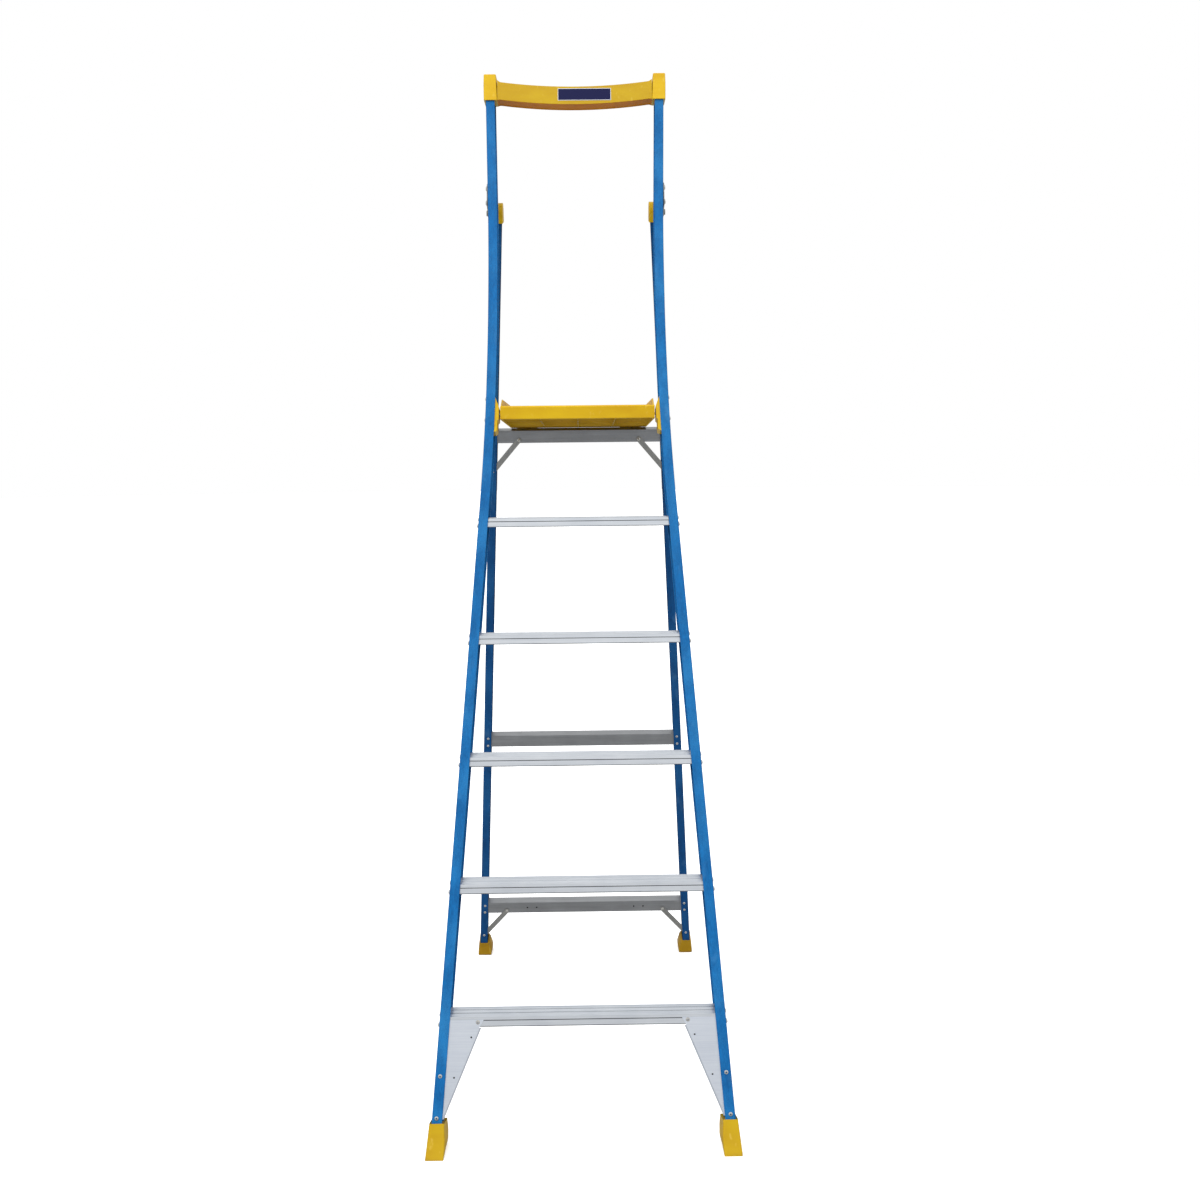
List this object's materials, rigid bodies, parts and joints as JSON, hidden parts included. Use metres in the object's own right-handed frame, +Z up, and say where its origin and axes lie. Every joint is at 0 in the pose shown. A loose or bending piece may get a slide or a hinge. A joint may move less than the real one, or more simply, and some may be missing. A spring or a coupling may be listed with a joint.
{
  "type": "platform step ladder",
  "caption": "Fibreglass platform step ladder with aluminium treads, a hinged rear frame, a lift-up platform and a handrail over the top.",
  "frame": {"origin": "on the floor, under the middle of the footprint", "axes": "+Z up; the climber's side faces -Y; +X is the climber's right"},
  "size_m": [0.7314, 1.3724, 2.6685],
  "materials": {
    "blue_fibreglass": "satin pultruded fibreglass",
    "yellow_moulding": "satin moulded plastic",
    "bright_aluminium": "bright extruded",
    "mill_aluminium": "dull mill finish",
    "zinc_plated_steel": "zinc plated",
    "navy_label": "printed, plain"
  },
  "bodies": {
    "front_frame": {"bracket_rivet_lower_left": "zinc_plated_steel", "bracket_rivet_lower_right": "zinc_plated_steel", "bracket_rivet_upper_left": "zinc_plated_steel", "bracket_rivet_upper_right": "zinc_plated_steel", "front_foot_left": "yellow_moulding", "front_foot_right": "yellow_moulding", "front_stile_left": "blue_fibreglass", "front_stile_right": "blue_fibreglass", "gusset_left": "bright_aluminium", "gusset_right": "bright_aluminium", "handrail_bar": "yellow_moulding", "handrail_corner_left": "yellow_moulding", "handrail_corner_right": "yellow_moulding", "hinge_plate_left": "zinc_plated_steel", "hinge_plate_right": "zinc_plated_steel", "hinge_rivet_lower_left": "zinc_plated_steel", "hinge_rivet_lower_right": "zinc_plated_steel", "hinge_rivet_upper_left": "zinc_plated_steel", "hinge_rivet_upper_right": "zinc_plated_steel", "label_plate": "navy_label", "pivot_bolt_left": "zinc_plated_steel", "pivot_bolt_right": "zinc_plated_steel", "pivot_nut_left": "zinc_plated_steel", "pivot_nut_right": "zinc_plated_steel", "pivot_spacer_left": "zinc_plated_steel", "pivot_spacer_right": "zinc_plated_steel", "platform_bracket_left": "yellow_moulding", "platform_bracket_right": "yellow_moulding", "tread_1": "bright_aluminium", "tread_2": "bright_aluminium", "tread_3": "bright_aluminium", "tread_4": "bright_aluminium", "tread_5": "bright_aluminium"},
    "rear_frame": {"brace_lower_left": "mill_aluminium", "brace_lower_right": "mill_aluminium", "brace_upper_left": "mill_aluminium", "brace_upper_right": "mill_aluminium", "crossbar_lower": "mill_aluminium", "crossbar_middle": "mill_aluminium", "crossbar_upper": "mill_aluminium", "rear_cap_left": "yellow_moulding", "rear_cap_right": "yellow_moulding", "rear_foot_left": "yellow_moulding", "rear_foot_right": "yellow_moulding", "rear_leg_left": "blue_fibreglass", "rear_leg_right": "blue_fibreglass"},
    "platform": {"platform_catch_left": "zinc_plated_steel", "platform_catch_right": "zinc_plated_steel", "platform_deck": "yellow_moulding", "platform_pin_left": "zinc_plated_steel", "platform_pin_right": "zinc_plated_steel", "platform_rim_left": "yellow_moulding", "platform_rim_right": "yellow_moulding"}
  },
  "joints": [
    {"name": "rear_fold", "type": "hinge", "parent": "front_frame", "child": "rear_frame", "pos_m": [0, 0.07122, 2.286], "axis": [-1, 0, 0], "range_deg": [0, 29]},
    {"name": "platform_lift", "type": "hinge", "parent": "front_frame", "child": "platform", "pos_m": [0, -0.16155, 1.722], "axis": [1, 0, 0], "range_deg": [0, 74]}
  ],
  "couplings": [
    {"joint": "platform_lift", "follows": "rear_fold", "ratio": 2.55}
  ]
}
